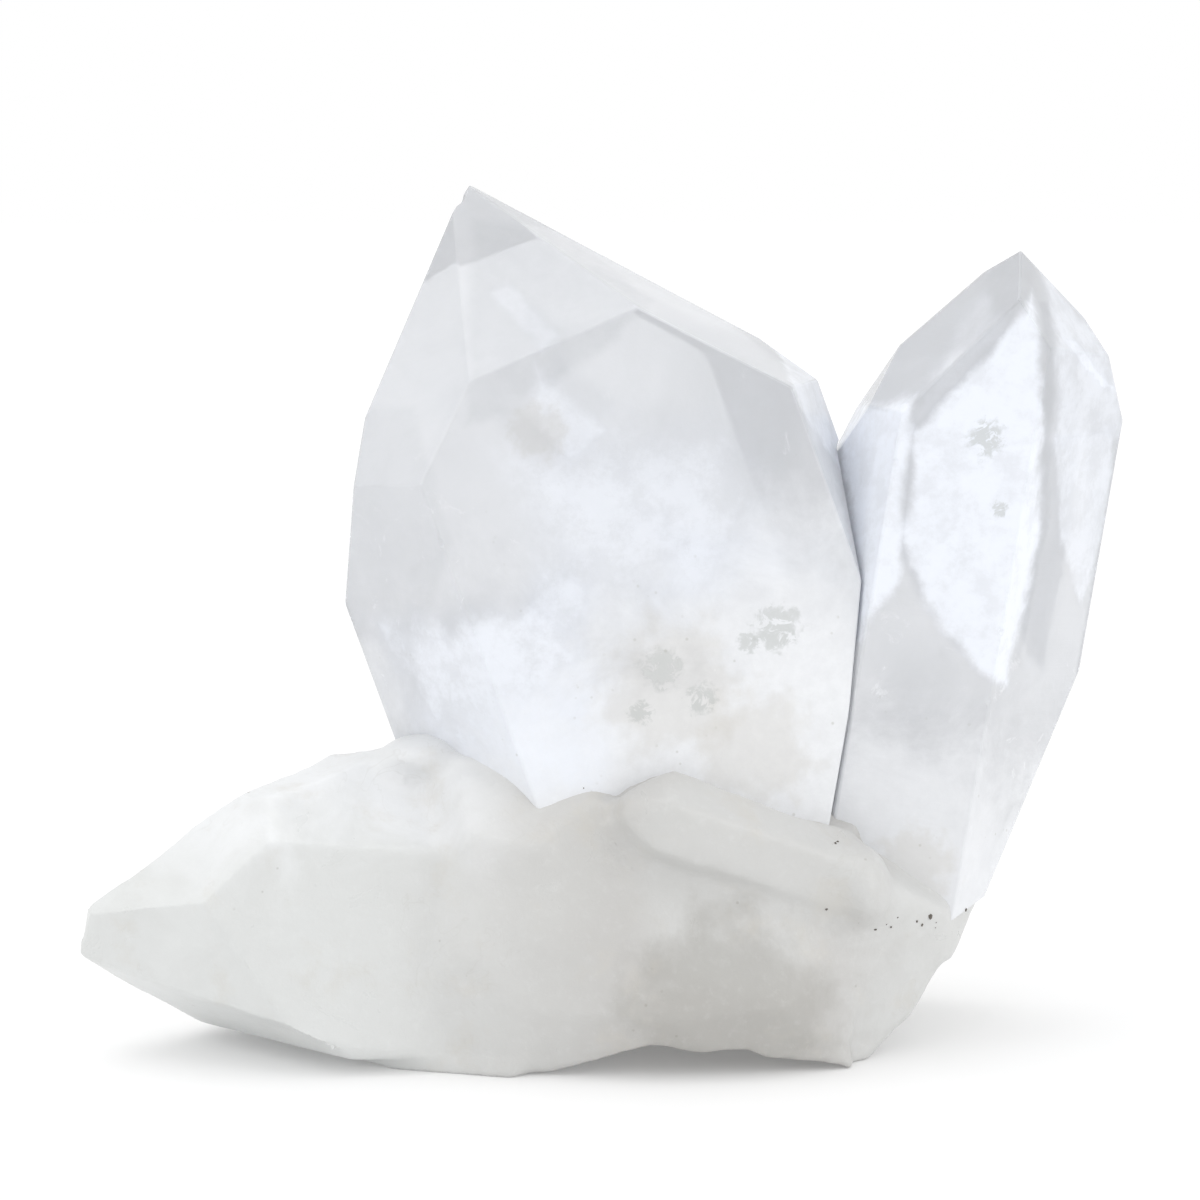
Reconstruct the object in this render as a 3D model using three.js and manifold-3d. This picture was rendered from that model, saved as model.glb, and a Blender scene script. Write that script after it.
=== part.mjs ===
// A cluster of natural quartz: four crystals that grew out of one milky root.
//
// The object stands on the underside of the root. +X runs to the right, +Y to the back and +Z up,
// in millimetres. The origin is on the surface it stands on, under the middle of its outline.
//
// A crystal is the space inside a set of flat faces, as the real mineral is. It has six prism
// faces along its axis, end faces that are tipped up towards its tip, and a few odd faces where
// growth was uneven. Where two crystals met, the one that grew later stops at the other.

import * as THREE from 'three';
import { ConvexGeometry } from 'three/addons/geometries/ConvexGeometry.js';
import { mergeVertices } from 'three/addons/utils/BufferGeometryUtils.js';
import Module from 'manifold-3d';

// ---------------------------------------------------------------- driving dimensions

const END_RISE = 38.2;           // a true end face of quartz is tipped up by this many degrees
const GROWTH_GAP = 0.3;          // clearance where two pieces grew against each other
const SAME_CORNER = 0.01;        // corners closer than this are one corner
const PARALLEL = 1e-6;           // three faces with a smaller determinant share no corner
const ON_FACE = 1e-6;            // how far outside a face a corner may lie by rounding

// Each crystal has its tip, how far its axis leans to the left and to the back, how far it is
// turned about that axis, how long it is, and its faces. Angles are in degrees. A face is
// [heading, rise, out]: the way it faces round the axis, counted from the front towards the
// right, how far it is tipped up towards the tip, and how far out from the tip it lies.

// the broad, flattened crystal in the middle
const BROAD = {
  tip: [-15.3, 6, 83.8], lean: 20, back: 4, turn: 13, length: 90,
  faces: [
    // prism
    [0, 0, 14.5], [60, 0, 26.8], [120, 0, 21], [180, 0, 9], [240, 0, 21.5], [300, 0, 20.4],
    // end
    [-3, END_RISE, 0], [62, 40, 1.2], [118, END_RISE, 1.7], [180, END_RISE, 0],
    [240, END_RISE, -1.5], [310, END_RISE, 0],
    // steep face down the left edge, the taper of its foot on the right, and where the root begins
    [257, 27, 5.2], [77, -30, 48], [257, -70, 66],
  ],
};

// the tall, clear crystal on the right
const TALL = {
  tip: [40.4, 0, 77.6], lean: -9, back: 2, turn: -5, length: 70,
  faces: [
    // prism
    [0, 0, 7.5], [60, 0, 7.9], [120, 0, 16.6], [180, 0, 13], [240, 0, 15.2], [300, 0, 10.9],
    // end
    [60, END_RISE, 1], [120, END_RISE, 4], [180, END_RISE, 0], [240, END_RISE, 1], [300, 33, 0],
    // steep face down the left edge, and the taper of its foot on the right
    [275, 21, 4.8], [95, -17.5, 26.3],
  ],
};

// the milky crystal that lies to the left
const LYING = {
  tip: [-52.2, -14, 13.5], lean: 84, back: -10, turn: 12, length: 42,
  faces: [
    // prism
    [0, 0, 10.8], [45, 0, 14.3], [105, 0, 19.3], [170, 0, 12.9], [225, 0, 13.5], [255, 0, 11.3],
    [300, 0, 14.4],
    // end
    [330, 32, 0.2], [45, 36, 0.9], [105, 36, 0.9], [170, 36, -0.2], [225, 36, 1.7],
    // steep faces above and below, the slant under the tip, the level underside and the blunt tip
    [75, 17, 9.1], [280, 20, 2.6], [280, 61, 0.4], [258, -6, 12.3], [0, 85, -1.2],
  ],
};

// the small rounded crystal in front
const STUB = {
  tip: [-0.8, -17.5, 26.4], lean: 70, back: -8, turn: 5, length: 26,
  faces: [
    // prism
    [0, 0, 4.5], [60, 0, 4.5], [120, 0, 5], [180, 0, 6], [240, 0, 5], [300, 0, 4.5],
    // end
    [0, END_RISE, 0], [60, END_RISE, 0], [120, END_RISE, 0], [180, END_RISE, 0],
    [240, END_RISE, 0], [300, END_RISE, 0],
    // blunt tip
    [0, 88, -2],
  ],
};

// The root is three lumps grown together, each given by its corners.
const LUMPS = [
  // left foot, and the slope that carries on from the top of the lying crystal
  [
    [-28.5, -15, 1.2], [-20, -18, 0], [-9, -21, 0], [-3, -18, 1], [-28, -5, 3], [-27, 7, 4],
    [-21, 15, 0], [2, 17, 0], [-23, -16, 5], [-9, -22.5, 8], [0, -21, 8], [-22, 3, 28],
    [-19, -5, 29.6], [-14, -10, 29.2], [-7, -13.5, 28], [0, -15.5, 26.6], [-13, -17.5, 23.2],
    [-6, -19.5, 22], [4, 10, 22], [-16, 13, 20], [6, 16, 8], [-12, -21.5, 12],
  ],
  // middle, under the small crystal
  [
    [-9, -21, 16], [-5, -18.5, 22.5], [1, -16, 26], [14, -15.5, 24], [25, -14, 22], [-9, -22, 7],
    [6, -23.5, 6], [17, -22, 7], [24, -18, 0], [14, -20, 0], [-6, -20, 0], [26, -16, 10],
    [-6, 16, 0], [26, 14, 0], [-4, 12, 24], [24, 10, 24], [8, 19, 8],
  ],
  // right foot, from which the tall crystal rises
  [
    [20, -17, 0], [25.5, -15, 0], [30.5, -11, 3], [34.4, -8.5, 8.5], [36.6, -6.5, 13.5],
    [34, -12, 14.5], [28, -15.5, 16.5], [24, -17, 20], [22, -18, 10], [20, 14, 0], [27, 12, 0],
    [33, 9, 7], [37.5, 6, 15.5], [30, 14, 16], [20, 12, 24],
  ],
];

// The shallow arch under the root's front edge: its outline from the front, where it starts in
// front of everything, and where it ends inside.
const ARCH = [
  [-7, -1], [-7, 0], [0, 1.7], [5, 3], [9, 2.1], [13, 2.4], [16, 1.4], [20, 1], [23.8, 0.3],
  [23.8, -1],
];
const ARCH_FRONT = -30;
const ARCH_END = -9;

const CLEAR_QUARTZ = { color: 0xe3e7ee, roughness: 0.08, metalness: 0 };
const MILKY_QUARTZ = { color: 0xdfe0df, roughness: 0.32, metalness: 0 };
const ROOT_QUARTZ = { color: 0xcdcbc8, roughness: 0.55, metalness: 0 };

// ---------------------------------------------------------------- solids

const wasm = await Module();
wasm.setup();

const radians = THREE.MathUtils.degToRad;

/** A closed geometry as a solid that can be joined and cut. */
function solidOf(geometry) {
  const bare = geometry.clone();
  bare.deleteAttribute('normal');
  bare.deleteAttribute('uv');
  const merged = mergeVertices(bare);
  return new wasm.Manifold(new wasm.Mesh({
    numProp: 3,
    vertProperties: new Float32Array(merged.attributes.position.array),
    triVerts: new Uint32Array(merged.index.array),
  }));
}

/** A solid as a geometry with flat faces. */
function geometryOf(solid) {
  const { vertProperties, triVerts } = solid.getMesh();
  const shared = new THREE.BufferGeometry();
  shared.setAttribute('position', new THREE.BufferAttribute(vertProperties, 3));
  shared.setIndex(new THREE.BufferAttribute(triVerts, 1));
  const flat = shared.toNonIndexed();
  flat.computeVertexNormals();
  return flat;
}

/** The smallest convex solid that holds all the corners. */
function hull(corners) {
  return solidOf(new ConvexGeometry(corners));
}

/** A crystal's own directions: along its axis to the tip, its front and its right. */
function directions({ lean, back, turn }) {
  const axis = new THREE.Vector3(
    -Math.sin(radians(lean)) * Math.cos(radians(back)),
    Math.sin(radians(back)),
    Math.cos(radians(lean)) * Math.cos(radians(back)),
  );
  const front = new THREE.Vector3(0, -1, 0);
  front.addScaledVector(axis, -front.dot(axis)).normalize();
  front.applyAxisAngle(axis, radians(turn));
  const right = new THREE.Vector3().crossVectors(axis, front);
  return { axis, front, right };
}

/** The planes of a crystal's faces, all moved out by `grow`. */
function facePlanes(crystal, grow) {
  const { axis, front, right } = directions(crystal);
  const tip = new THREE.Vector3(...crystal.tip);
  const root = [0, -90, crystal.length];
  return [...crystal.faces, root].map(([heading, rise, out]) => {
    const normal = front.clone().multiplyScalar(Math.cos(radians(heading)));
    normal.addScaledVector(right, Math.sin(radians(heading)));
    normal.multiplyScalar(Math.cos(radians(rise)));
    normal.addScaledVector(axis, Math.sin(radians(rise)));
    return { normal, distance: normal.dot(tip) + out + grow };
  });
}

/** The point where three planes meet, or null if they share none. */
function meetingPoint(p, q, r) {
  const rows = new THREE.Matrix3();
  rows.set(...p.normal.toArray(), ...q.normal.toArray(), ...r.normal.toArray());
  if (Math.abs(rows.determinant()) < PARALLEL) return null;
  const distances = new THREE.Vector3(p.distance, q.distance, r.distance);
  return distances.applyMatrix3(rows.invert());
}

/** A crystal as a solid: its corners are the points where three faces meet inside the rest. */
function crystalSolid(crystal, grow = 0) {
  const planes = facePlanes(crystal, grow);
  const corners = [];
  const keep = (point) => {
    const inside = planes.every(({ normal, distance }) => normal.dot(point) <= distance + ON_FACE);
    const known = corners.some((corner) => corner.distanceTo(point) < SAME_CORNER);
    if (inside && !known) corners.push(point);
  };
  planes.forEach((p, i) => {
    planes.slice(0, i).forEach((q, j) => {
      planes.slice(0, j).forEach((r) => {
        const point = meetingPoint(p, q, r);
        if (point) keep(point);
      });
    });
  });
  return hull(corners);
}

/** What is left of a solid beside the crystals that it grew against. */
function grownAgainst(solid, crystals) {
  return crystals.reduce((rest, crystal) => rest.subtract(crystalSolid(crystal, GROWTH_GAP)), solid);
}

/** The space under the root's front edge. */
function archSpace() {
  const outline = new THREE.Shape(ARCH.map(([x, z]) => new THREE.Vector2(x, z)));
  const depth = ARCH_END - ARCH_FRONT;
  const space = new THREE.ExtrudeGeometry(outline, { depth, bevelEnabled: false });
  space.rotateX(Math.PI / 2);
  space.translate(0, ARCH_END, 0);
  return solidOf(space);
}

/** The root: its lumps joined, with the arch cut out. */
function rootSolid() {
  const lumps = LUMPS.map((corners) => hull(corners.map((corner) => new THREE.Vector3(...corner))));
  const joined = lumps.reduce((all, lump) => all.add(lump));
  return joined.subtract(archSpace());
}

// ---------------------------------------------------------------- the cluster

const cluster = new THREE.Group();

function addPiece(name, solid, finish) {
  const piece = new THREE.Mesh(geometryOf(solid), new THREE.MeshStandardMaterial(finish));
  piece.name = name;
  cluster.add(piece);
}

addPiece('tall_crystal', crystalSolid(TALL), CLEAR_QUARTZ);
addPiece('lying_crystal', crystalSolid(LYING), MILKY_QUARTZ);
addPiece('broad_crystal', grownAgainst(crystalSolid(BROAD), [TALL, LYING]), CLEAR_QUARTZ);
addPiece('stub_crystal', grownAgainst(crystalSolid(STUB), [TALL, BROAD]), MILKY_QUARTZ);
addPiece('milky_root', grownAgainst(rootSolid(), [TALL, LYING, BROAD, STUB]), ROOT_QUARTZ);

// The origin goes under the middle of the outline, on the surface that the root stands on.
const outline = new THREE.Box3().setFromObject(cluster);
const middle = outline.getCenter(new THREE.Vector3());
cluster.position.set(-middle.x, -middle.y, -outline.min.z);

export default cluster;
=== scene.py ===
"""Quartz crystal cluster: the finished pieces, their materials and a plain studio.

The two clear crystals are copies of their rough solids, with softened edges and with chips broken
out of them. The lying crystal, the stub and the root are shaped as the one milky mass that they
grew into, and are then parted. Everything is in metres, in the frame of the rough solids.
"""

import math
import random

import bpy
from bpy.props import FloatProperty, FloatVectorProperty, IntProperty, PointerProperty
from bpy.types import Operator, Panel, PropertyGroup
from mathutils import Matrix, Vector


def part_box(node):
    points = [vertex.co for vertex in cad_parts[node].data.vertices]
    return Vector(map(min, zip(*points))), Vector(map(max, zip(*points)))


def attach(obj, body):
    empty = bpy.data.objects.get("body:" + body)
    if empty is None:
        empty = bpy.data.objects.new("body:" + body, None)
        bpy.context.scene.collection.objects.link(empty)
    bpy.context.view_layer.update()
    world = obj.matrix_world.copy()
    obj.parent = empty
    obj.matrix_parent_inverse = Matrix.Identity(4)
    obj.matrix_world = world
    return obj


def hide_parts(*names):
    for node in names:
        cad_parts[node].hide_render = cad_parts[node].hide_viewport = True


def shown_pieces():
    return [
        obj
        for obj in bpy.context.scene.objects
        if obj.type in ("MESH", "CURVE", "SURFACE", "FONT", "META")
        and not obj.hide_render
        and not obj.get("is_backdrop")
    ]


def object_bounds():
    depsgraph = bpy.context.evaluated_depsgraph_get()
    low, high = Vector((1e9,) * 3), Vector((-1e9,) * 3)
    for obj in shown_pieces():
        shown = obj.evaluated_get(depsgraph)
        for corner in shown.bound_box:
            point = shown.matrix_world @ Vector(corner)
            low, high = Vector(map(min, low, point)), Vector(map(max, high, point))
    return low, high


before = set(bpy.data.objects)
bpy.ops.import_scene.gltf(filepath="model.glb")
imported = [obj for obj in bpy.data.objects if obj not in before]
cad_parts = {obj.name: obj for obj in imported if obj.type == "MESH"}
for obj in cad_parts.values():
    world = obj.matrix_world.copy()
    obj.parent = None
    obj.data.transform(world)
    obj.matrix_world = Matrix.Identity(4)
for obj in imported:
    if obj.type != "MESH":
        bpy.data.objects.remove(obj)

bl_info = {
    "name": "Quartz Crystal Cluster",
    "version": (1, 0, 0),
    "blender": (4, 5, 0),
    "location": "3D View > Sidebar > Quartz",
    "description": "Models and finishes a natural cluster of clear and milky quartz",
    "category": "Object",
}

MM = 0.001
ROUGH_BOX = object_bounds()
ROUGH_LOW, ROUGH_HIGH = ROUGH_BOX
MIDDLE = (ROUGH_LOW + ROUGH_HIGH) / 2

SAME_POINT = 0.01 * MM  # points of a rough solid that are this close are one point
FLAT_ANGLE = math.radians(0.6)  # triangles that turn less than this are one flat face
SOFTENED_ANGLE = math.radians(9)  # edges that turn more than this are softened
SOFTENED_LENGTH = 1.5 * MM  # if they are at least this long
CHIPPED_ANGLE = math.radians(25)  # edges that turn more than this get chips
CHIPPED_LENGTH = 3 * MM  # if they are at least this long
CLEAR_SMOOTH = 30  # the most degrees between two faces that are shaded as one, on clear quartz
MILKY_SMOOTH = 60  # and on milky quartz

QUARTZ_IOR = 1.544
MARK_TINT = (0.50, 0.52, 0.51)  # small fracture marks in clear quartz
CLEAR_GRAIN_TINT = (0.42, 0.42, 0.36)  # fine grains in the clear quartz's cloudy foot
PAINTED_SHADE_TINT = (0.37, 0.36, 0.335)  # painted shade, warm, on the front of the root above the arch
CLOUDY_TINT = (0.52, 0.52, 0.50)  # greyer clouds in milky quartz
FROST_TINT = (0.86, 0.875, 0.88)  # fine frost on milky quartz
VEIN_TINT = (0.48, 0.47, 0.44)  # thin veins in milky quartz
MILKY_GRAIN_TINT = (0.27, 0.25, 0.21)  # fine grains in milky quartz


# ---------------------------------------------------------------- settings

class QuartzShape(PropertyGroup):
    """Sizes of the small shapes on the crystals and the root."""

    edge_width: FloatProperty(
        name="Edge Width", description="Width of the softened edge between two crystal faces",
        default=0.22 * MM, unit="LENGTH", precision=5)
    chip_radius: FloatProperty(
        name="Chip Radius", description="Largest radius of a shell-shaped chip in an edge",
        default=1.9 * MM, unit="LENGTH", precision=5)
    milky_grid: FloatProperty(
        name="Milky Grid", description="Size of the mesh on the milky quartz",
        default=0.46 * MM, unit="LENGTH", precision=5)
    milky_relief: FloatProperty(
        name="Milky Relief", description="Depth of the hollows in the milky quartz",
        default=0.9 * MM, unit="LENGTH", precision=5)
    root_overlap: FloatProperty(
        name="Root Overlap", description="How far the root grows over the feet of the crystals",
        default=0.3 * MM, unit="LENGTH", precision=5)
    speck_radius: FloatProperty(
        name="Speck Radius", description="Largest radius of a dark mineral speck",
        default=0.3 * MM, unit="LENGTH", precision=5)
    seed: IntProperty(name="Seed", description="Seed of the random places", default=7)


class QuartzColours(PropertyGroup):
    """Colours of the quartz, in linear light."""

    clear: FloatVectorProperty(
        name="Clear", description="Tint of the clear quartz", subtype="COLOR", size=3,
        min=0, max=1, default=(0.835, 0.85, 0.88))
    # The cloud colour also paints light on the top of the lying crystal.
    cloud: FloatVectorProperty(
        name="Cloud", description="Colour of the clouds in the clear quartz", subtype="COLOR",
        size=3, min=0, max=1, default=(0.83, 0.843, 0.865))
    # The veil colour is also painted light: highlights and reflections on faces, bevels and chips
    # of the clear crystals, and light laid into the shade between them.
    veil: FloatVectorProperty(
        name="Veil", description="Colour of the bright veils in the clear quartz",
        subtype="COLOR", size=3, min=0, max=1, default=(0.855, 0.89, 0.96))
    # The dull colour is painted shade on the faces, edges and tips of the clear crystals that turn
    # from the light; it also darkens a patch and the tall crystal's foot.
    dull: FloatVectorProperty(
        name="Dull", description="Colour of the smoky areas in the clear quartz",
        subtype="COLOR", size=3, min=0, max=1, default=(0.735, 0.75, 0.78))
    milky: FloatVectorProperty(
        name="Milky", description="Colour of the milky crystals", subtype="COLOR", size=3,
        min=0, max=1, default=(0.70, 0.713, 0.708))
    root: FloatVectorProperty(
        name="Root", description="Colour of the milky root", subtype="COLOR", size=3,
        min=0, max=1, default=(0.53, 0.522, 0.508))
    stain: FloatVectorProperty(
        name="Stain", description="Colour of the warm stains near the root", subtype="COLOR",
        size=3, min=0, max=1, default=(0.58, 0.55, 0.49))
    speck: FloatVectorProperty(
        name="Speck", description="Colour of the mineral specks", subtype="COLOR", size=3,
        min=0, max=1, default=(0.10, 0.09, 0.075))


class QuartzStage(PropertyGroup):
    """Camera, floor and lights."""

    lens: FloatProperty(
        name="Lens", description="Focal length of the camera", default=100, unit="CAMERA")
    distance: FloatProperty(
        name="Distance", description="Distance from the camera to the cluster",
        default=333.3 * MM, unit="LENGTH")
    elevation: FloatProperty(
        name="Elevation", description="Height of the camera above the horizon",
        default=math.radians(8), subtype="ANGLE")
    aim: FloatVectorProperty(
        name="Aim",
        description="Point that the camera looks at, from under the middle of the cluster",
        default=(-0.9 * MM, 2.2 * MM, 43.2 * MM), subtype="TRANSLATION", unit="LENGTH")
    floor_radius: FloatProperty(
        name="Floor Radius", description="Radius of the round floor", default=3.0, unit="LENGTH")


# ---------------------------------------------------------------- modelling helpers

def shape():
    """The sizes in the panel."""
    return bpy.context.scene.quartz_shape


def colours():
    """The colours in the panel."""
    return bpy.context.scene.quartz_colours


def select_only(piece):
    """Leaves just this piece selected and active."""
    if bpy.context.object and bpy.context.object.mode != "OBJECT":
        bpy.ops.object.mode_set(mode="OBJECT")
    bpy.ops.object.select_all(action="DESELECT")
    piece.select_set(True)
    bpy.context.view_layer.objects.active = piece


def edit_all(piece):
    """Opens the piece in edit mode with all of it selected."""
    select_only(piece)
    bpy.ops.object.mode_set(mode="EDIT")
    bpy.ops.mesh.select_all(action="SELECT")


def close_edit():
    """Leaves edit mode."""
    bpy.ops.object.mode_set(mode="OBJECT")


def rough_copy(node, name):
    """A new piece from a rough solid, its loose triangles merged into whole flat faces."""
    piece = bpy.data.objects.new(name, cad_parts[node].data.copy())
    bpy.context.scene.collection.objects.link(piece)
    piece.data.materials.clear()
    edit_all(piece)
    bpy.ops.mesh.remove_doubles(threshold=SAME_POINT)
    bpy.ops.mesh.dissolve_limited(angle_limit=FLAT_ANGLE)
    close_edit()
    return piece


def apply_modifier(piece, kind, **values):
    """Adds a modifier with these values and applies it."""
    select_only(piece)
    modifier = piece.modifiers.new(kind.title(), kind)
    for key, value in values.items():
        setattr(modifier, key, value)
    bpy.ops.object.modifier_apply(modifier=modifier.name)


def combine(piece, tool, operation):
    """Cuts a piece by a tool, or keeps what is inside the tool, and throws the tool away."""
    apply_modifier(piece, "BOOLEAN", operation=operation, object=tool, solver="MANIFOLD")
    bpy.data.objects.remove(tool)


def cut_corner(piece, point, direction):
    """Cuts off what lies beyond a plane, and closes the cut with a flat face."""
    edit_all(piece)
    bpy.ops.mesh.bisect(
        plane_co=point, plane_no=direction, use_fill=True, clear_outer=True, threshold=0.001 * MM)
    close_edit()


def sharp_edges(piece, least_angle, least_length):
    """Edges between two faces that meet at a real angle, as (index, ends, outward direction)."""
    mesh = piece.data
    faces_at = {}
    for face in mesh.polygons:
        for key in face.edge_keys:
            faces_at.setdefault(key, []).append(face.normal)
    found = []
    for edge in mesh.edges:
        normals = faces_at.get(edge.key, [])
        if len(normals) != 2 or normals[0].angle(normals[1], 0) < least_angle:
            continue
        start, end = (mesh.vertices[i].co.copy() for i in edge.vertices)
        convex = (normals[0] + normals[1]).normalized()
        if (end - start).length >= least_length:
            found.append((edge.index, (start, end), convex))
    return found


def soften_edges(piece, width):
    """Bevels the long sharp edges, so that they catch the light."""
    chosen = [index for index, _, _ in sharp_edges(piece, SOFTENED_ANGLE, SOFTENED_LENGTH)]
    select_only(piece)
    bpy.ops.object.mode_set(mode="EDIT")
    bpy.ops.mesh.select_mode(type="EDGE")
    bpy.ops.mesh.select_all(action="DESELECT")
    close_edit()
    for index in chosen:
        piece.data.edges[index].select = True
    bpy.ops.object.mode_set(mode="EDIT")
    bpy.ops.mesh.bevel(offset=width, segments=2, profile=0.5, affect="EDGES", clamp_overlap=False)
    bpy.ops.mesh.select_mode(type="VERT")
    bpy.ops.mesh.select_all(action="SELECT")
    bpy.ops.mesh.remove_doubles(threshold=0.004 * MM)
    close_edit()


def add_ball(centre, radius, stretch, subdivisions=3):
    """A ball at its place, stretched along X, Y and Z."""
    bpy.ops.object.select_all(action="DESELECT")
    bpy.ops.mesh.primitive_ico_sphere_add(
        subdivisions=subdivisions, radius=radius, location=centre, scale=stretch)
    ball = bpy.context.object
    bpy.ops.object.transform_apply(location=True, rotation=True, scale=True)
    return ball


def join_pieces(pieces, name):
    """Joins pieces into one."""
    select_only(pieces[0])
    for piece in pieces[1:]:
        piece.select_set(True)
    bpy.ops.object.join()
    joined = bpy.context.object
    joined.name = joined.data.name = name
    return joined


def break_chips(piece, count, draw, low=None, left=None):
    """Breaks shell-shaped chips out of the sharp edges, none below `low` or left of `left`."""
    edges = sharp_edges(piece, CHIPPED_ANGLE, CHIPPED_LENGTH)
    weights = [(end - start).length for _, (start, end), _ in edges]
    balls = []
    while len(balls) < count:
        _, (start, end), outward = draw.choices(edges, weights)[0]
        point = start.lerp(end, draw.uniform(0.04, 0.96))
        if (low is not None and point.z < low) or (left is not None and point.x < left):
            continue
        radius = shape().chip_radius * draw.uniform(0.35, 1)
        bite = radius * draw.uniform(0.07, 0.16)  # how deep the ball reaches into the edge
        stretch = [draw.uniform(0.7, 1.3) for _ in range(3)]
        balls.append(add_ball(point + outward * (radius - bite), radius, stretch))
    for ball in balls:
        combine(piece, ball, "DIFFERENCE")


def noise_texture(name, kind, size, **values):
    """A solid noise pattern for displacing a surface."""
    texture = bpy.data.textures.new(name, kind)
    texture.noise_scale = size
    for key, value in values.items():
        setattr(texture, key, value)
    return texture


def hollow_out(piece, texture, depth, group=""):
    """Sinks the surface by up to `depth`, following a noise pattern."""
    apply_modifier(piece, "DISPLACE", texture=texture, texture_coords="LOCAL", mid_level=1.0,
                   strength=depth, vertex_group=group)


def weigh(piece, name, weight_at):
    """A vertex group whose weights are a function of each vertex's place."""
    group = piece.vertex_groups.new(name=name)
    for vertex in piece.data.vertices:
        group.add([vertex.index], min(1, max(0, weight_at(vertex.co))), "REPLACE")
    return group.name


def swell(piece, amount):
    """Moves all faces of a rough copy outwards."""
    edit_all(piece)
    bpy.ops.mesh.quads_convert_to_tris()
    bpy.ops.transform.shrink_fatten(value=amount)
    close_edit()


def duplicate(piece, name):
    """A copy of a piece with its own mesh."""
    select_only(piece)
    bpy.ops.object.duplicate()
    copy = bpy.context.object
    copy.name = copy.data.name = name
    return copy


def even_shading(piece, whole):
    """Shades a parted piece as the whole it was parted from, so that no seam shows."""
    apply_modifier(piece, "DATA_TRANSFER", object=whole, use_loop_data=True,
                   data_types_loops={"CUSTOM_NORMAL"}, loop_mapping="NEAREST_POLYNOR")


def crisp_shading(piece):
    """Shades the broad faces flat, and leaves the roundness to the softened edges."""
    apply_modifier(piece, "WEIGHTED_NORMAL", mode="FACE_AREA", weight=90, keep_sharp=True)


def finish_piece(piece, node, material, smooth_angle=CLEAR_SMOOTH):
    """Gives a finished piece its material, shading and body, and hides its rough solid."""
    piece.data.materials.clear()
    piece.data.materials.append(material)
    piece.vertex_groups.clear()
    select_only(piece)
    bpy.ops.object.shade_smooth_by_angle(angle=math.radians(smooth_angle))
    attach(piece, "root")
    if node:
        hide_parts(node)


# ---------------------------------------------------------------- material helpers

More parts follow.
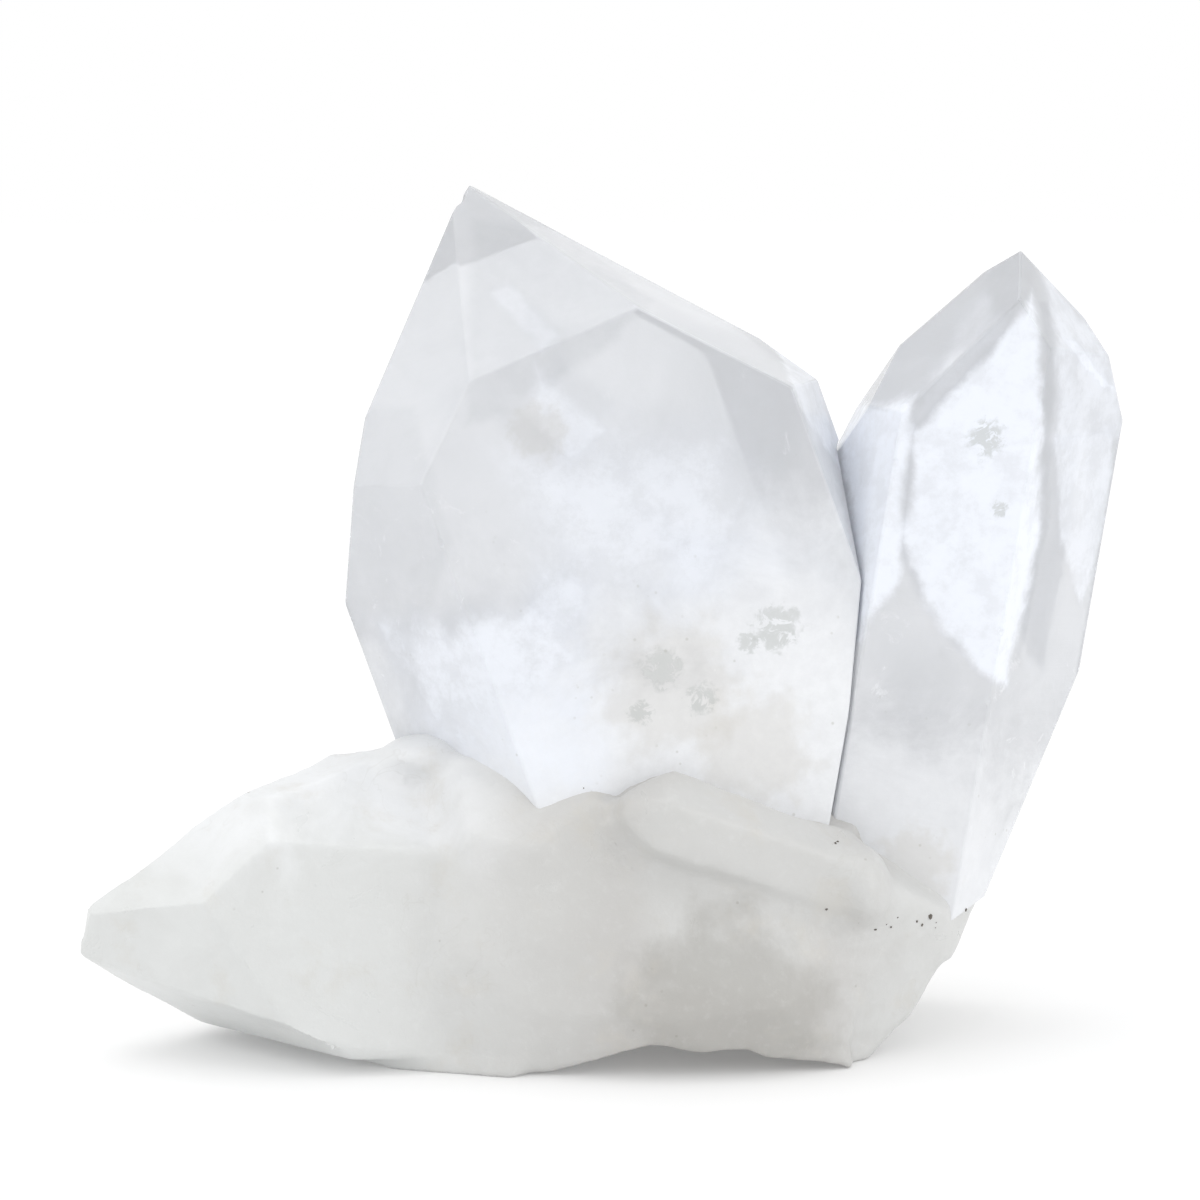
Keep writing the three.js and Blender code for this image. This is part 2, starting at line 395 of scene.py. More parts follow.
class Nodes:
    """A material's nodes, added and wired by short calls. Positions are in millimetres."""

    def __init__(self, name):
        self.material = bpy.data.materials.new(name)
        self.material.use_nodes = True
        self.tree = self.material.node_tree
        self.shader = self.tree.nodes["Principled BSDF"]
        coordinates = self.tree.nodes.new("ShaderNodeTexCoord")
        self.place = self.add("ShaderNodeMapping", Vector=coordinates.outputs["Object"],
                              Scale=(1 / MM,) * 3)

    def add(self, kind, settings=None, **inputs):
        """A node with its settings and inputs, as its first output."""
        node = self.tree.nodes.new(kind)
        for key, value in (settings or {}).items():
            setattr(node, key, value)
        for key, value in inputs.items():
            self.put(node.inputs[key.replace("_", " ")], value)
        return node.outputs[0]

    def put(self, socket, value):
        """Wires an output into a socket, or sets its number."""
        if isinstance(value, bpy.types.NodeSocket):
            self.tree.links.new(value, socket)
        else:
            socket.default_value = value

    def maths(self, operation, *values):
        """The result of a sum or another operation on numbers and outputs."""
        node = self.tree.nodes.new("ShaderNodeMath")
        node.operation = operation
        for socket, value in zip(node.inputs, values):
            self.put(socket, value)
        return node.outputs[0]

    def noise(self, size, detail=4.0, roughness=0.55, distortion=0.0, stretch=(1, 1, 1)):
        """Noise from 0 to 1 with blotches about `size` millimetres across."""
        place = self.add("ShaderNodeMapping", Vector=self.place, Scale=stretch)
        return self.add("ShaderNodeTexNoise", Vector=place, Scale=1 / size, Detail=detail,
                        Roughness=roughness, Distortion=distortion)

    def ramp(self, value, low, high, start=0.0, end=1.0):
        """A smooth step of a value from `low` to `high`."""
        node = self.tree.nodes.new("ShaderNodeMapRange")
        node.interpolation_type = "SMOOTHSTEP"
        for socket, number in zip(node.inputs, (value, low, high, start, end)):
            self.put(socket, number)
        return node.outputs[0]

    def mix(self, factor, first, second):
        """A colour between two colours."""
        node = self.tree.nodes.new("ShaderNodeMix")
        node.data_type = "RGBA"
        self.put(node.inputs["Factor"], factor)
        self.put(node.inputs[6], first)
        self.put(node.inputs[7], second)
        return node.outputs[2]

    def lay(self, colour, tint, mask, strength):
        """A tint laid over a colour, at this strength where the mask is 1."""
        return self.mix(self.maths("MULTIPLY", mask, strength), colour, rgba(tint))

    def along(self, direction):
        """Distance along a direction, in millimetres."""
        node = self.tree.nodes.new("ShaderNodeVectorMath")
        node.operation = "DOT_PRODUCT"
        self.put(node.inputs[0], self.place)
        self.put(node.inputs[1], direction)
        return node.outputs["Value"]

    def blotch(self, centre, radius, ragged=0.5):
        """A ragged patch round a point: 1 inside, 0 outside."""
        apart = self.tree.nodes.new("ShaderNodeVectorMath")
        apart.operation = "DISTANCE"
        self.put(apart.inputs[0], self.place)
        self.put(apart.inputs[1], tuple(c / MM for c in centre))
        wobble = self.maths("MULTIPLY", self.noise(radius * 0.45, detail=5), radius * 2 * ragged)
        reach = self.maths("ADD", apart.outputs["Value"], wobble)
        edge = radius * (1 + ragged)
        return self.ramp(reach, edge * 1.12, edge * 0.78)

    def veil(self, corners, softness, ragged=0.0):
        """An area with straight sides, seen from the front: 1 inside, 0 outside.

        The corners are (across, up) in millimetres, and go round clockwise.
        """
        wobble = self.noise(softness * 2 + 2, detail=5) if ragged else 0.5
        wobble = self.maths("MULTIPLY_ADD", wobble, 2 * ragged, -ragged)
        inside = None
        for (across, up), (next_across, next_up) in zip(corners, corners[1:] + corners[:1]):
            length = math.hypot(next_across - across, next_up - up)
            inward = ((next_up - up) / length, 0, (across - next_across) / length)
            level = inward[0] * across + inward[2] * up
            reach = self.maths("ADD", self.along(inward), wobble)
            side = self.ramp(reach, level - softness, level + softness)
            inside = side if inside is None else self.maths("MINIMUM", inside, side)
        return inside

    def relief(self, height, distance, strength=1.0, under=None):
        """A bump of a height pattern, with its depth in millimetres."""
        inputs = {"Height": height, "Distance": distance * MM, "Strength": strength}
        if under is not None:
            inputs["Normal"] = under
        return self.add("ShaderNodeBump", **inputs)


def rgba(colour):
    """A colour as a socket takes it."""
    return (*colour, 1.0)


def shade(tint, amount):
    """A tint made darker or lighter, as a socket takes it."""
    return rgba([min(1, c * amount) for c in tint])


def axis_of(lean, back=0.0):
    """The direction of a crystal's axis that leans to the left and to the back, in degrees."""
    lean, back = math.radians(lean), math.radians(back)
    return (-math.sin(lean) * math.cos(back), math.sin(back), math.cos(lean) * math.cos(back))


def clear_quartz(name, axis, foot, tip, veils_and_painted_light, dull, stains, marks):
    """Clear quartz that turns cloudy from `tip` down to `foot`, both measured along the axis.

    Veils are clouds in the quartz and also painted highlights and reflections on its faces. Dull
    areas are painted shade on its faces, edges and tip, and darken a patch and a foot. Both are
    (corners, softness, strength). Stains and marks are (centre, radius).
    """
    n = Nodes(name)
    tints = colours()
    height = n.along(axis)
    clouds = n.noise(11, detail=7, roughness=0.62, distortion=0.4)
    drift = n.maths("MULTIPLY_ADD", clouds, 30, -15)
    milk = n.ramp(n.maths("ADD", height, drift), tip, foot)
    wisps = n.ramp(n.noise(5, detail=8, roughness=0.7, distortion=1.2), 0.54, 0.72)
    milk = n.maths("MAXIMUM", milk, n.maths("MULTIPLY", wisps, n.ramp(height, tip + 16, foot)))
    fine = n.noise(1.6, detail=6, roughness=0.7)
    cloud = n.mix(n.ramp(fine, 0.3, 0.75), shade(tints.cloud, 0.965), shade(tints.cloud, 1.035))
    flow = n.ramp(n.noise(14, detail=5, roughness=0.55, distortion=0.8), 0.35, 0.65)
    glass = n.mix(flow, shade(tints.clear, 0.975), shade(tints.clear, 1.035))
    colour = n.mix(milk, glass, cloud)
    haze = n.ramp(n.noise(3.5, detail=7, roughness=0.68), 0.36, 0.62)
    haze = n.maths("MULTIPLY_ADD", haze, 0.3, 0.7)
    solid = milk
    # Dull areas lay painted shade; veils lay clouds in the quartz and painted highlights and
    # reflections.
    for areas, tint in ((dull, tints.dull), (veils_and_painted_light, tints.veil)):
        for corners, softness, strength in areas:
            area = n.maths("MULTIPLY", n.veil(corners, softness, softness * 0.8 + 0.4), haze)
            area = n.maths("MULTIPLY", area, strength)
            colour = n.mix(area, colour, rgba(tint))
            if areas is veils_and_painted_light:
                solid = n.maths("MAXIMUM", solid, area)
    for centre, radius in stains:
        colour = n.lay(colour, tints.stain, n.blotch(centre, radius, 0.8), 0.3)
    for centre, radius in marks:
        cracks = n.ramp(n.noise(1.7, detail=6, roughness=0.65, distortion=1.6), 0.42, 0.52)
        mark = n.maths("MULTIPLY", n.blotch(centre, radius, 0.9), cracks)
        colour = n.lay(colour, MARK_TINT, mark, 0.62)
        solid = n.maths("MAXIMUM", solid, mark)
    grains = n.add("ShaderNodeTexVoronoi", Vector=n.place, Scale=1 / 1.1)
    speck = n.maths("MULTIPLY", n.ramp(grains, 0.2, 0.08), n.ramp(n.noise(6), 0.56, 0.64))
    speck = n.maths("MULTIPLY", speck, n.ramp(height, tip + 10, foot))
    colour = n.lay(colour, CLEAR_GRAIN_TINT, speck, 0.4)
    n.put(n.shader.inputs["Base Color"], colour)
    n.put(n.shader.inputs["Transmission Weight"], n.ramp(solid, 0, 1, 0.46, 0.03))
    rough = n.maths("MULTIPLY_ADD", n.noise(2.2, detail=4), 0.05, 0.03)
    n.put(n.shader.inputs["Roughness"], n.maths("ADD", rough, n.maths("MULTIPLY", solid, 0.18)))
    n.shader.inputs["IOR"].default_value = QUARTZ_IOR
    lines = n.add("ShaderNodeTexNoise", Vector=n.add("ShaderNodeCombineXYZ", Z=height),
                  Scale=1.1, Detail=5.0, Roughness=0.6)
    step = n.relief(lines, 0.05, 0.4)
    pits = n.relief(n.noise(0.5, detail=4, roughness=0.65), 0.025, 0.4, under=step)
    n.put(n.shader.inputs["Normal"], pits)
    return n.material


def milky_quartz(name):
    """Milky quartz with clouds, warm stains, small pits and dark specks.

    It is cool and pale at the tip of the lying crystal, and warmer towards the root. Painted light
    lightens the top of the lying crystal, and painted shade darkens the root's front above the
    arch.
    """
    n = Nodes(name)
    across = n.along((1, 0, 0))
    up = n.along((0, 0, 1))
    broad = n.noise(9, detail=6, roughness=0.6, distortion=0.6)
    fine = n.noise(1.1, detail=6, roughness=0.7)
    drift = n.maths("MULTIPLY_ADD", broad, 16, -8)
    tints = colours()
    warm = n.ramp(n.maths("ADD", across, drift), -30, 6)
    colour = n.mix(warm, rgba(tints.milky), rgba(tints.root))
    # Painted light: the upper part of the lying crystal is made lighter with the cloud colour.
    pale = n.maths("MULTIPLY", n.ramp(n.maths("ADD", up, drift), 17, 27),
                   n.ramp(across, -6, -16))
    colour = n.lay(colour, tints.cloud, pale, 0.6)
    far = n.ramp(n.maths("ADD", across, drift), 20, 30)
    colour = n.lay(colour, tints.milky, far, 0.6)
    colour = n.lay(colour, tints.milky, n.blotch(spot(13, -18, 20), 12, 0.2), 0.4)  # the stub
    # Painted shade on the low front of the root, over the arch, where shadow falls.
    colour = n.lay(colour, PAINTED_SHADE_TINT, n.blotch(spot(12, -20, 5), 11, 0.7), 0.6)
    colour = n.lay(colour, CLOUDY_TINT, n.ramp(broad, 0.62, 0.35), 0.14)
    stain = n.ramp(n.noise(6, detail=7, roughness=0.65), 0.52, 0.72)
    colour = n.lay(colour, tints.stain, stain, 0.3)
    colour = n.lay(colour, FROST_TINT, n.ramp(fine, 0.5, 0.75), 0.1)
    veins = n.maths("ABSOLUTE", n.maths("SUBTRACT", n.noise(8, detail=3, distortion=1.5), 0.5))
    veins = n.maths("MULTIPLY", n.ramp(veins, 0.010, 0.0), n.ramp(n.noise(12), 0.45, 0.6))
    colour = n.lay(colour, VEIN_TINT, veins, 0.14)
    grains = n.add("ShaderNodeTexVoronoi", Vector=n.place, Scale=1 / 1.9)
    speck = n.maths("MULTIPLY", n.ramp(grains, 0.11, 0.04), n.ramp(n.noise(8), 0.55, 0.68))
    colour = n.lay(colour, MILKY_GRAIN_TINT, speck, 0.7)
    n.put(n.shader.inputs["Base Color"], colour)
    n.put(n.shader.inputs["Roughness"], n.ramp(broad, 0.2, 0.8, 0.25, 0.43))
    n.shader.inputs["IOR"].default_value = QUARTZ_IOR
    large = n.relief(n.noise(2.4, detail=6, roughness=0.6), 0.125, 0.5)
    small = n.relief(n.noise(0.55, detail=5, roughness=0.7), 0.05, 0.5, under=large)
    n.put(n.shader.inputs["Normal"], small)
    return n.material


def mineral(name, tint):
    """Dark grains with a dull shine."""
    n = Nodes(name)
    colour = n.mix(n.noise(0.3, detail=3), shade(tint, 0.6), shade(tint, 1.9))
    n.put(n.shader.inputs["Base Color"], colour)
    n.put(n.shader.inputs["Roughness"], n.ramp(n.noise(0.5), 0.3, 0.7, 0.4, 0.75))
    return n.material


# ---------------------------------------------------------------- places on the cluster

def spot(across, depth, up):
    """A place in mm from the cluster's middle line, its front-to-back middle and the floor."""
    return Vector((MIDDLE.x + across * MM, MIDDLE.y + depth * MM, ROUGH_LOW.z + up * MM))


# The slanting plane at which the root closes round the tall crystal's foot: a place and its way up
FOOT_PLACE = spot(31, -6, 12.5)
FOOT_UP = Vector((-0.2, -0.1, 1))

# The plane at which the lying crystal gives way to the root: a place and its way to the right
LYING_END = spot(-12.5, -18, 14)
LYING_WAY = (0.97, 0, 0.24)


# ---------------------------------------------------------------- the pieces

class QUARTZ_OT_broad(Operator):
    """Model the broad crystal with its softened edges and chips"""

    bl_idname = "quartz.broad"
    bl_label = "Broad Crystal"

    def execute(self, context):
        piece = rough_copy("broad_crystal", "broad_crystal_finished")
        low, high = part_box("broad_crystal")
        soften_edges(piece, shape().edge_width)
        draw = random.Random(shape().seed)
        break_chips(piece, 7, draw, low=low.z + 0.25 * (high.z - low.z))
        material = clear_quartz(
            "clear_quartz_broad", axis_of(20, 4), foot=22, tip=58,
            veils_and_painted_light=[
                ([(-22, 41), (-6, 45), (0, 35), (-1, 26), (-18, 29)], 2.5, 0.75),  # low cloud
                ([(5, 52), (12, 50), (11, 45), (5, 45)], 2.0, 0.6),  # bright wisps
                ([(-7, 49), (-1, 46), (-3, 41), (-8, 43)], 1.5, 0.6),
                ([(-10, 75), (-5, 70), (-6.5, 68.5), (-11.5, 74)], 0.7, 0.3),  # streak by the tip
                ([(-7, 67), (0, 61), (-4, 58), (-8, 63)], 0.9, 0.45),  # pale wedge
                ([(-9, 58), (11, 60), (19, 48), (-4, 43)], 5.0, 0.6),  # faint haze in the middle
                ([(16.5, 69), (20.5, 67), (24.5, 58), (23, 56), (18.3, 63.5)], 0.4, 0.6),  # painted highlight on the bevel
            ],
            dull=[
                ([(-28, 62), (-19, 63), (-15, 51), (-19, 39), (-28, 40)], 0.6, 0.5),  # painted shade on the left side
                ([(-13.5, 81), (-5, 80), (4, 73), (-2, 68), (-9, 63), (-13.5, 62)],
                 0.8, 0.95),  # painted shade on the tip
                ([(-11, 63), (-4, 63), (2, 56), (-7, 56)], 1.2, 0.4),  # darker patch
                ([(4, 72), (22, 64), (25, 40), (14, 50)], 3.0, 0.3),  # painted shade on the right side, next to the tall crystal
            ],
            stains=[(spot(6, -9, 36), 7), (spot(14, -9, 30), 6), (spot(-7, -8, 61), 3)],
            marks=[(spot(16.4, -6.5, 41.7), 2.3), (spot(13.5, -7, 40.4), 1.1),
                   (spot(5, -9, 38), 2.0), (spot(9, -9, 35), 1.5), (spot(3, -10, 34), 1.2)])
        finish_piece(piece, "broad_crystal", material)
        crisp_shading(piece)
        return {"FINISHED"}


class QUARTZ_OT_tall(Operator):
    """Model the tall crystal with its softened edges and chips"""

    bl_idname = "quartz.tall"
    bl_label = "Tall Crystal"

    def execute(self, context):
        piece = rough_copy("tall_crystal", "tall_crystal_finished")
        low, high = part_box("tall_crystal")
        soften_edges(piece, shape().edge_width)
        cut_corner(piece, FOOT_PLACE, -FOOT_UP)
        draw = random.Random(shape().seed + 1)
        break_chips(piece, 9, draw, low=low.z + 0.3 * (high.z - low.z))
        material = clear_quartz(
            "clear_quartz_tall", axis_of(-9, 2), foot=20, tip=46,
            veils_and_painted_light=[
                ([(29.7, 60.5), (41, 73.5), (42, 60), (42, 50), (39, 36), (36, 37.5), (31, 44),
                  (28.6, 50)], 0.8, 0.95),  # painted reflection of a soft light on the front
                ([(27, 58), (34, 71), (37, 74), (38.5, 70.5), (30, 61)],
                 1.0, 0.3),  # painted light on the end face on the left
                ([(43.5, 60), (51, 60), (50.5, 50), (48, 42), (45, 49)], 0.5, 0.6),  # painted light on the right face
                ([(23, 62), (29.5, 64), (28.2, 46), (24, 40)], 0.8, 1.0),  # painted light on the left strip, in the shade between the crystals
                ([(44, 70), (46, 69), (51, 64), (49, 64)], 0.4, 0.8),  # painted highlight on the chip at the shoulder
                ([(43, 76), (47, 72), (52.5, 65), (52.5, 59), (43.5, 59)],
                 1.2, 0.62),  # painted light on the end face on the right
            ],
            dull=[
                ([(36, 70), (38, 78), (42, 78), (41.5, 73.5)], 0.9, 0.6),  # painted shade left of the tip
                ([(42, 73), (43, 73), (43.2, 51), (42.2, 51)], 0.3, 0.9),  # painted shade along the edge between the faces
                ([(42.2, 52), (43.2, 52), (40.6, 38), (39.6, 38)], 0.3, 0.9),
                ([(26, 42), (34, 38), (40, 28), (41, 10), (22, 10)], 3.0, 0.45),  # darker towards the foot
            ],
            stains=[(spot(30, -7, 18), 4)],
            marks=[(spot(36.4, -6, 60.2), 1.9), (spot(46.3, -2.2, 57.5), 1.9),
                   (spot(37.9, -6, 53.2), 0.9)])
        finish_piece(piece, "tall_crystal", material)
        crisp_shading(piece)
        return {"FINISHED"}


class QUARTZ_OT_milky(Operator):
    """Model the lying crystal, the stub and the root as one mass, then part them"""

    bl_idname = "quartz.milky"
    bl_label = "Milky Pieces"

    def execute(self, context):
        mass = self.blank()
        apply_modifier(mass, "REMESH", mode="VOXEL", voxel_size=shape().milky_grid)
        self.smooth(mass)
        self.hollow(mass)
        whole = duplicate(mass, "whole")
        bpy.ops.object.shade_smooth_by_angle(angle=math.radians(MILKY_SMOOTH))
        self.part(mass, whole, "lying_crystal", 3 * MM, "lying_finish", (LYING_END, LYING_WAY))
        self.part(mass, whole, "stub_crystal", 0.4 * MM, "stub_finish")
        mass.name = mass.data.name = "milky_root_finished"
        finish_piece(mass, "milky_root", milky_quartz("root_finish"), MILKY_SMOOTH)
        even_shading(mass, whole)
        bpy.data.objects.remove(whole)
        return {"FINISHED"}

    def part(self, mass, whole, node, margin, finish, end=None):
        """Takes the mass within a margin of a rough solid away, as a piece of its own.

        The end is a plane, as a place and a direction, beyond which the mass stays whole.
        """
        solid = rough_copy(node, node + "_solid")
        swell(solid, margin)
        if end:
            cut_corner(solid, *end)
        piece = duplicate(mass, node + "_finished")
        combine(piece, duplicate(solid, "tool"), "INTERSECT")
        combine(mass, solid, "DIFFERENCE")
        finish_piece(piece, node, milky_quartz(finish), MILKY_SMOOTH)
        even_shading(piece, whole)

    def blank(self):
        """The rough solids together, with lumps in the gaps and cores in the clear feet."""
        root = rough_copy("milky_root", "root_blank")
        swell(root, shape().root_overlap)
        lying = rough_copy("lying_crystal", "lying_blank")
        break_chips(lying, 12, random.Random(shape().seed + 2), left=-45 * MM)
        swell(lying, 0.05 * MM)
        stub = rough_copy("stub_crystal", "stub_blank")
        swell(stub, 0.2 * MM)
        lumps = [add_ball(spot(24.5, -12.8, 17.4), MM, (3.4, 5, 4.6)),  # over the stub's foot
                 add_ball(spot(-18.2, -3.6, 28.6), MM, (5, 5, 2.7))]  # under the broad crystal
        for across, depth, up in ((29.3, -3.7, 13.1), (33, 1.7, 13.9), (34.9, 6.3, 12.8),
                                  (34.7, 10.9, 13.7), (28.5, 12, 13.4)):  # round the tall foot
            lumps.append(add_ball(spot(across, depth, up), MM, (3.2, 3.2, 2.6)))
        cores = []
        for node, place, up, outwards in (
                ("broad_crystal", spot(0, 0, 30), (0, 0, 1), -0.3),
                ("tall_crystal", spot(0, 0, 24), (0, 0, 1), -0.3),
                ("tall_crystal", FOOT_PLACE + 0.5 * MM * FOOT_UP, FOOT_UP, 0.35)):
            core = rough_copy(node, node + "_core")
            cut_corner(core, place, up)
            swell(core, outwards * MM)
            cores.append(core)
        return join_pieces([root, lying, stub, *lumps, *cores], "milky_mass")

    def smooth(self, mass):
        """Rounds the root, the slope where the lying crystal runs into it and the far tip."""

        def rounding(place):
            across = place.x / MM
            return max(0.4, (across + 26) / 6 + 0.4, (-46 - across) / 4)

        def softer(place):
            """More in the upper part of the root, right of the lying crystal."""
            up = (place.z - ROUGH_LOW.z) / MM
            return min((up - 7) / 5, (place.x / MM + 8) / 6)

        group = weigh(mass, "rounding", rounding)
        apply_modifier(mass, "SMOOTH", factor=0.6, iterations=12, vertex_group=group)
        group = weigh(mass, "softer", softer)
        apply_modifier(mass, "SMOOTH", factor=0.6, iterations=14, vertex_group=group)
        apply_modifier(mass, "SMOOTH", factor=0.5, iterations=2)

    def hollow(self, mass):
        """Sinks swells, breaks and grain into the mass, except where it meets the floor."""

        def free(place):
            """None at the floor, and little on the crisp faces of the lying crystal."""
            clear_of_floor = (place.z - ROUGH_LOW.z) / (2 * MM)
            return clear_of_floor * min(1, max(0.12, (place.x / MM + 50) / 30))

        group = weigh(mass, "free", free)
        relief = shape().milky_relief
        hollow_out(mass, noise_texture("lumps", "CLOUDS", 11 * MM, noise_depth=1), relief, group)
        hollow_out(mass, noise_texture("breaks", "VORONOI", 7 * MM), relief * 0.2, group)
        hollow_out(mass, noise_texture("grain", "CLOUDS", 2.4 * MM, noise_depth=3),
                   relief * 0.22, group)
        group = weigh(mass, "tip", lambda place: (-38 - place.x / MM) / 4)
        apply_modifier(mass, "SMOOTH", factor=0.5, iterations=4, vertex_group=group)
        # nothing stands out past the rough solids' box
        for vertex in mass.data.vertices:
            vertex.co.x = max(vertex.co.x, ROUGH_LOW.x)
            vertex.co.y = min(max(vertex.co.y, ROUGH_LOW.y), ROUGH_HIGH.y)
            vertex.co.z = max(vertex.co.z, ROUGH_LOW.z)


class QUARTZ_OT_specks(Operator):
    """Scatter dark mineral grains where the crystals grow out of the root"""

    bl_idname = "quartz.specks"
    bl_label = "Mineral Specks"

    def execute(self, context):
        draw = random.Random(shape().seed + 5)
        hosts = [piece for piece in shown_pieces() if piece.name.endswith("_finished")]
        seams = [  # from, to, how many
            (spot(25, -14, 13.4), spot(36, -5, 13.6), 14),
            (spot(-18.6, -4.3, 29.2), spot(-1, -13.4, 26), 9),
            (spot(20.6, -12.2, 23.6), spot(22.4, -15.2, 13.2), 6),
        ]
        grains = []
        for start, end, count in seams:
            for _ in range(count):
                place = start.lerp(end, draw.random())
                place += Vector([draw.gauss(0, 0.7 * MM) for _ in range(3)])
                grains.append(self.grain(place, hosts, draw))
        piece = join_pieces(grains, "mineral_specks")
        apply_modifier(piece, "DISPLACE", texture=noise_texture("grain_faces", "CLOUDS", 0.3 * MM),
                       texture_coords="LOCAL", mid_level=0.5, strength=0.3 * MM)
        finish_piece(piece, None, mineral("speck_mineral", colours().speck))
        return {"FINISHED"}

    def grain(self, place, hosts, draw):
        """One grain, half sunk in the nearest surface."""
        nearest = None
        for host in hosts:
            hit, point, _, _ = host.closest_point_on_mesh(place)
            if hit and (nearest is None or (point - place).length < (nearest - place).length):
                nearest = point
        radius = shape().speck_radius * draw.uniform(0.3, 1) ** 1.5
        stretch = [draw.uniform(0.6, 1.4) for _ in range(3)]
        return add_ball(nearest, radius, stretch, subdivisions=1)


# ---------------------------------------------------------------- the stage

def area_light(name, place, aim, size, power):
    """A soft, white, rectangular light at a place, aimed at a point."""
    lamp = bpy.data.lights.new(name, "AREA")
    lamp.shape = "RECTANGLE"
    lamp.size, lamp.size_y = size
    lamp.energy = power
    light = bpy.data.objects.new(name, lamp)
    bpy.context.scene.collection.objects.link(light)
    light.location = place
    light.rotation_euler = (aim - place).to_track_quat("-Z", "Y").to_euler()


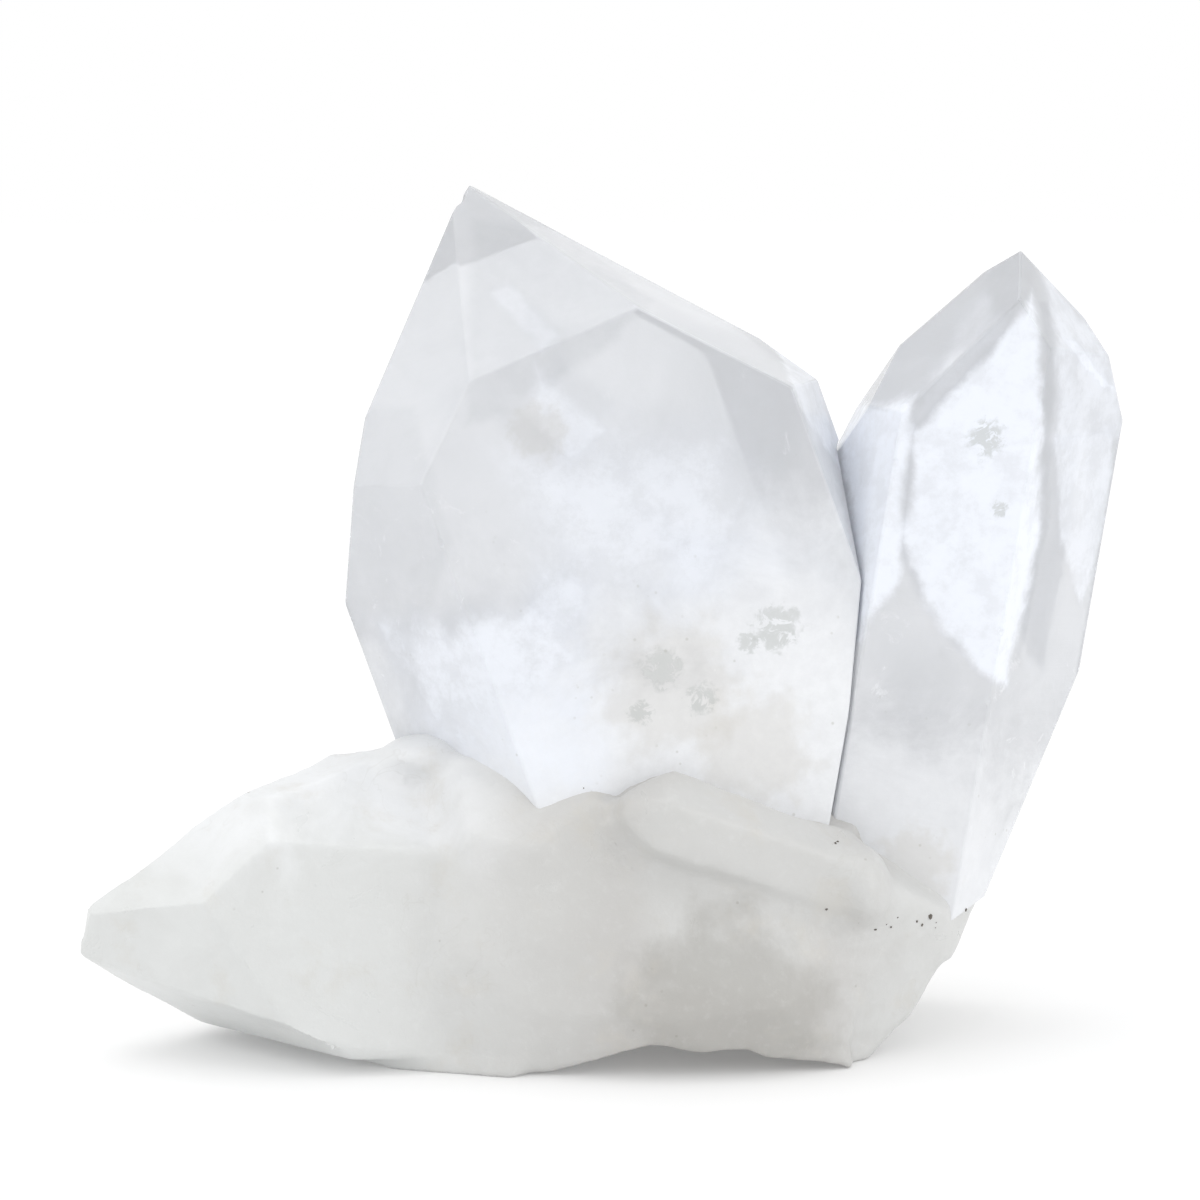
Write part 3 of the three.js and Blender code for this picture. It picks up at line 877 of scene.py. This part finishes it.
class QUARTZ_OT_stage(Operator):
    """Set up the camera, the floor and the soft lights"""

    bl_idname = "quartz.stage"
    bl_label = "Stage"

    def execute(self, context):
        stage = context.scene.quartz_stage
        self.camera(stage)
        self.floor(stage)
        self.sky()
        centre = spot(0, 0, 40)
        area_light("top_light", spot(-80, 60, 520), centre, size=(0.5, 0.5), power=0.7)
        area_light("left_light", spot(-480, -160, 260), centre, size=(0.35, 0.5), power=0.4)
        area_light("right_light", spot(420, -260, 200), centre, size=(0.35, 0.5), power=0.6)
        context.scene.view_settings.view_transform = "Standard"
        return {"FINISHED"}

    def camera(self, stage):
        """The camera in front of the cluster, a little above the horizon."""
        lens = bpy.data.cameras.new("camera")
        lens.lens = stage.lens
        lens.clip_start, lens.clip_end = 0.01, 20
        camera = bpy.data.objects.new("camera", lens)
        bpy.context.scene.collection.objects.link(camera)
        bpy.context.scene.camera = camera
        aim = Vector((MIDDLE.x, MIDDLE.y, ROUGH_LOW.z)) + Vector(stage.aim)
        toward = Vector((0, -math.cos(stage.elevation), math.sin(stage.elevation)))
        camera.location = aim + toward * stage.distance
        camera.rotation_euler = (-toward).to_track_quat("-Z", "Y").to_euler()

    def floor(self, stage):
        """The round floor under the cluster."""
        bpy.ops.object.select_all(action="DESELECT")
        bpy.ops.mesh.primitive_circle_add(
            vertices=96, radius=stage.floor_radius, fill_type="NGON",
            location=(MIDDLE.x, MIDDLE.y, ROUGH_LOW.z))
        floor = bpy.context.object
        floor.name = "floor"
        bpy.ops.object.transform_apply(location=True, rotation=True, scale=True)
        floor.data.materials.append(self.paper())
        floor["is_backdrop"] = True

    def paper(self):
        """White paper that runs into the white background some way from the cluster."""
        material = bpy.data.materials.new("floor_paper")
        material.use_nodes = True
        tree = material.node_tree
        shader = tree.nodes["Principled BSDF"]
        shader.inputs["Base Color"].default_value = (0.93, 0.93, 0.93, 1)
        shader.inputs["Roughness"].default_value = 0.9
        shader.inputs["Specular IOR Level"].default_value = 0.1
        coordinates = tree.nodes.new("ShaderNodeTexCoord")
        squash = tree.nodes.new("ShaderNodeMapping")  # the cluster is wider than it is deep
        squash.inputs["Scale"].default_value = (0.42, 1, 1)
        tree.links.new(coordinates.outputs["Object"], squash.inputs[0])
        away = tree.nodes.new("ShaderNodeVectorMath")
        away.operation = "LENGTH"
        tree.links.new(squash.outputs[0], away.inputs[0])
        fade = tree.nodes.new("ShaderNodeMapRange")
        fade.interpolation_type = "SMOOTHSTEP"
        near, far = 0.016, 0.07  # metres from the middle
        least, most = 0.13, 1.0  # share of plain white light
        for socket, number in zip(list(fade.inputs)[1:5], (near, far, least, most)):
            socket.default_value = number
        tree.links.new(away.outputs["Value"], fade.inputs[0])
        white = tree.nodes.new("ShaderNodeEmission")
        white.inputs["Strength"].default_value = 1.05
        mixed = tree.nodes.new("ShaderNodeMixShader")
        tree.links.new(fade.outputs[0], mixed.inputs[0])
        tree.links.new(shader.outputs[0], mixed.inputs[1])
        tree.links.new(white.outputs[0], mixed.inputs[2])
        tree.links.new(mixed.outputs[0], tree.nodes["Material Output"].inputs["Surface"])
        return material

    def sky(self):
        """Even white light all round, dimmer from the side that the front faces."""
        world = bpy.data.worlds.new("studio")
        bpy.context.scene.world = world
        world.use_nodes = True
        tree = world.node_tree
        background = tree.nodes["Background"]
        background.inputs["Color"].default_value = (1, 1, 1, 1)
        coordinates = tree.nodes.new("ShaderNodeTexCoord")
        split = tree.nodes.new("ShaderNodeSeparateXYZ")
        tree.links.new(coordinates.outputs["Generated"], split.inputs[0])
        fall = tree.nodes.new("ShaderNodeMapRange")
        fall.interpolation_type = "SMOOTHSTEP"
        front, back = -0.95, 0.3  # how far forward or back a direction points
        dim, bright = 0.88, 0.94
        for socket, number in zip(list(fall.inputs)[1:5], (front, back, dim, bright)):
            socket.default_value = number
        tree.links.new(split.outputs["Y"], fall.inputs[0])
        path = tree.nodes.new("ShaderNodeLightPath")
        seen = tree.nodes.new("ShaderNodeMix")
        tree.links.new(path.outputs["Is Camera Ray"], seen.inputs[0])
        tree.links.new(fall.outputs[0], seen.inputs[2])
        seen.inputs[3].default_value = 1.0
        tree.links.new(seen.outputs[0], background.inputs["Strength"])


class QUARTZ_PT_panel(Panel):
    """Lists the pieces and the stage in the sidebar"""

    bl_idname = "QUARTZ_PT_panel"
    bl_label = "Quartz Cluster"
    bl_space_type = "VIEW_3D"
    bl_region_type = "UI"
    bl_category = "Quartz"

    def draw(self, context):
        for step in STEPS:
            self.layout.operator(step.bl_idname)
        for settings in (context.scene.quartz_shape, context.scene.quartz_colours,
                         context.scene.quartz_stage):
            box = self.layout.box()
            for name in settings.__annotations__:
                box.prop(settings, name)


STEPS = (
    QUARTZ_OT_broad, QUARTZ_OT_tall, QUARTZ_OT_milky, QUARTZ_OT_specks, QUARTZ_OT_stage,
)
SETTINGS = {
    "quartz_shape": QuartzShape, "quartz_colours": QuartzColours, "quartz_stage": QuartzStage,
}


def register():
    """Adds the settings, the operators and the panel."""
    for group in SETTINGS.values():
        bpy.utils.register_class(group)
    for step in (*STEPS, QUARTZ_PT_panel):
        bpy.utils.register_class(step)
    for name, group in SETTINGS.items():
        setattr(bpy.types.Scene, name, PointerProperty(type=group))


def unregister():
    """Takes them away again."""
    for name in SETTINGS:
        delattr(bpy.types.Scene, name)
    for step in (QUARTZ_PT_panel, *reversed(STEPS)):
        bpy.utils.unregister_class(step)
    for group in reversed(list(SETTINGS.values())):
        bpy.utils.unregister_class(group)


def main():
    """Models everything."""
    register()
    for step in STEPS:
        family, name = step.bl_idname.split(".")
        getattr(getattr(bpy.ops, family), name)()


if __name__ == "__main__":
    main()
